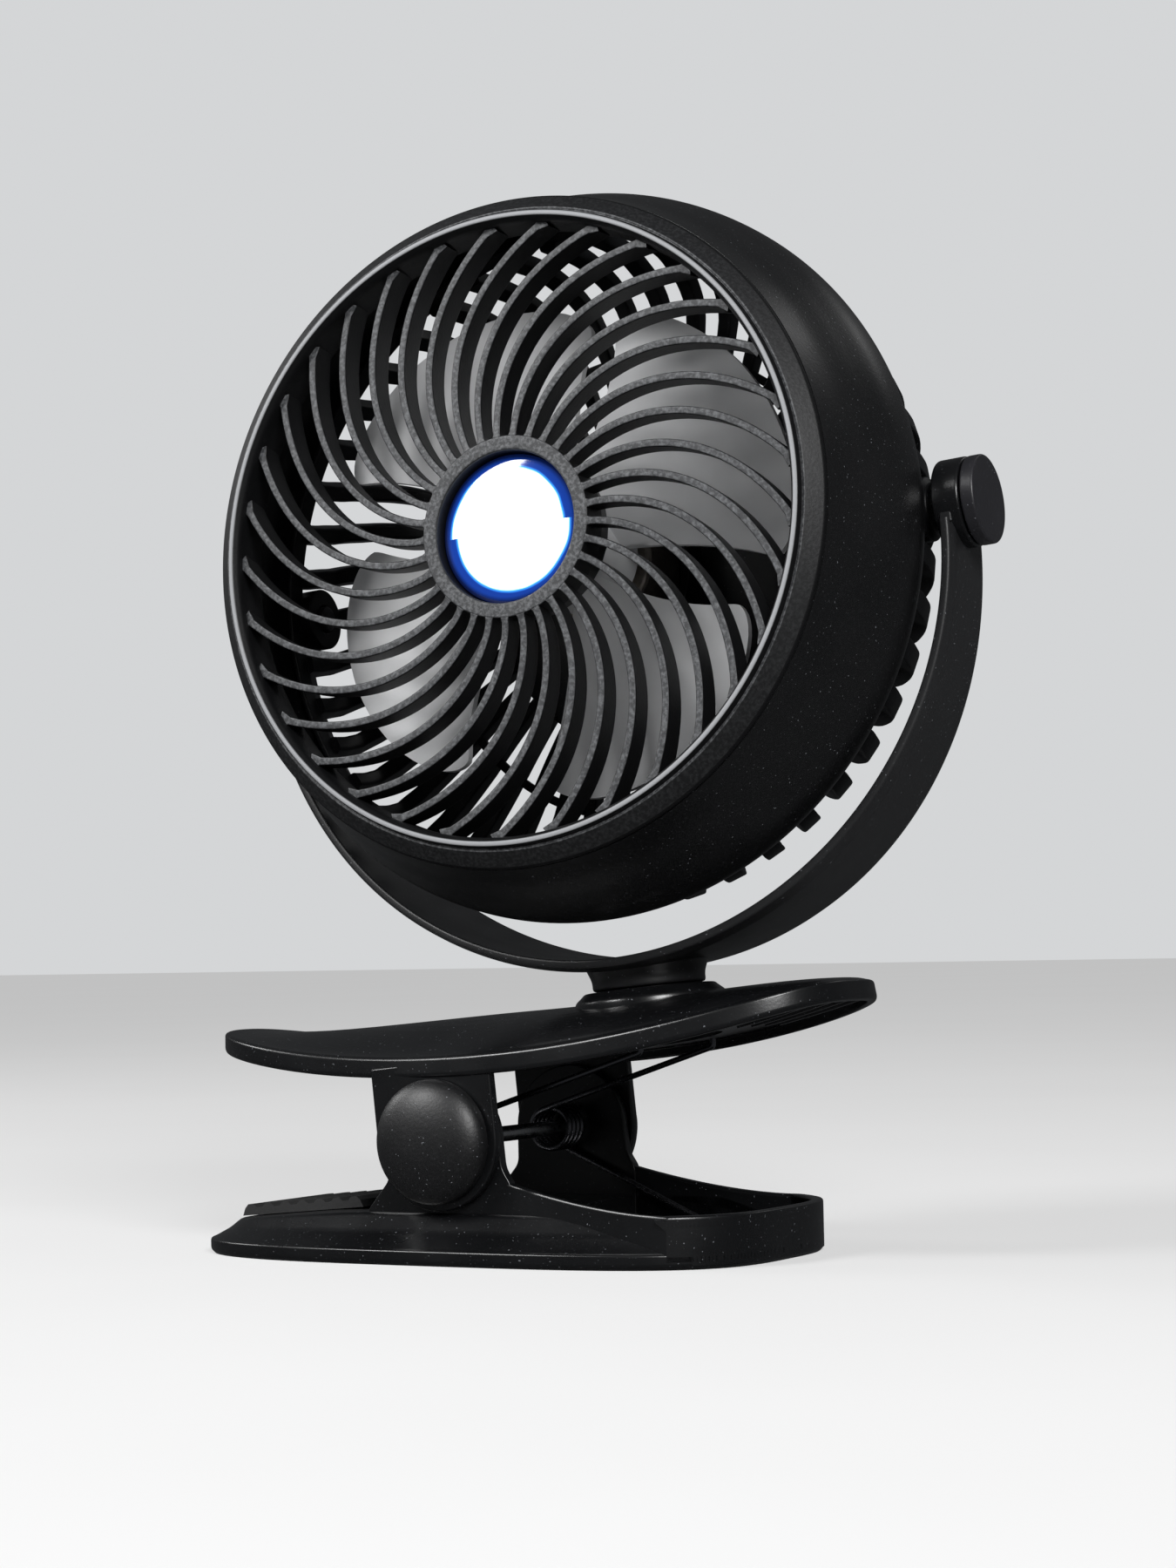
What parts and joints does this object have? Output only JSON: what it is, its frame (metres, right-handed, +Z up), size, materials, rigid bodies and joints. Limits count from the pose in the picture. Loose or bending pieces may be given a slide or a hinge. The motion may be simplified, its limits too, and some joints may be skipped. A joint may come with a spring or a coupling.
{
  "type": "clip fan",
  "caption": "Round clip-on fan with a lamp in its front hub, tilting in a swivelling yoke on a sprung two-plate clip.",
  "frame": {"origin": "on the flat underside of the clip's lower plate, straight below the pivot rod", "axes": "+X towards the clip's handles, +Y along the pivot rod, away from the side the fan faces, +Z up"},
  "size_m": [0.1979, 0.1043, 0.2407],
  "materials": {
    "body_black": "fine satin grain",
    "body_black_matt": "matt",
    "control_grey": "satin",
    "steel": "plain",
    "dark_steel": "oiled",
    "rubber": "matt",
    "brass": "plain",
    "lens": "clear",
    "mirror": "metallised",
    "board": "lacquered",
    "cell_wrap": "shrink film",
    "led": "translucent"
  },
  "bodies": {
    "foot": {"lower_jaw": "body_black", "lower_grip_pad": "rubber", "pivot_rod": "steel", "pivot_cap_near": "body_black", "pivot_cap_far": "body_black", "clip_spring_near": "dark_steel", "clip_spring_far": "dark_steel"},
    "upper_clip": {"upper_jaw": "body_black", "upper_grip_pad": "rubber"},
    "yoke_arm": {"yoke": "body_black", "swivel_washer": "steel", "swivel_screw": "steel", "pivot_knob_right": "body_black", "pivot_knob_left": "body_black"},
    "head": {"drum_shell": "body_black", "front_grille": "body_black", "lamp_housing": "body_black_matt", "lamp_board": "board", "lamp_led": "led", "lamp_reflector": "mirror", "lamp_lens": "lens", "rear_shell": "body_black_matt", "motor_can": "steel", "motor_cap": "body_black_matt", "motor_bush": "brass", "motor_core": "dark_steel", "pod_shell": "body_black_matt", "battery_door": "body_black_matt", "battery_cell": "cell_wrap", "control_board": "board", "power_switch": "body_black_matt", "lamp_switch": "body_black_matt", "charging_port": "steel"},
    "rotor": {"impeller": "control_grey", "motor_shaft": "steel"},
    "power_key": {"power_button": "control_grey"},
    "lamp_key": {"lamp_button": "control_grey"}
  },
  "joints": [
    {"name": "clip_hinge", "type": "hinge", "parent": "foot", "child": "upper_clip", "pos_m": [0, 0, 0.027], "axis": [0, 1, 0], "range_deg": [-28.5, 30], "stiffness_Nm_per_rad": 3, "springref_deg": -2.29, "deforming": ["clip_spring_near", "clip_spring_far"]},
    {"name": "yoke_swivel", "type": "hinge", "parent": "upper_clip", "child": "yoke_arm", "pos_m": [0.03787, 0, 0.05483], "axis": [-0.0976, 0, 0.9952], "continuous": true},
    {"name": "head_tilt", "type": "hinge", "parent": "yoke_arm", "child": "head", "pos_m": [0.02789, 0, 0.15654], "axis": [-0.9942, -0.0454, -0.0975], "range_deg": [-96, 84]},
    {"name": "fan_spin", "type": "hinge", "parent": "head", "child": "rotor", "pos_m": [0.02789, 0, 0.15654], "axis": [0.0347, -0.9935, 0.1084], "continuous": true},
    {"name": "power_button_press", "type": "slide", "parent": "head", "child": "power_key", "axis": [0.0347, -0.9935, 0.1084], "range_m": [0, 0.001], "stiffness_N_per_m": 400},
    {"name": "lamp_button_press", "type": "slide", "parent": "head", "child": "lamp_key", "axis": [0.0347, -0.9935, 0.1084], "range_m": [0, 0.001], "stiffness_N_per_m": 400}
  ]
}
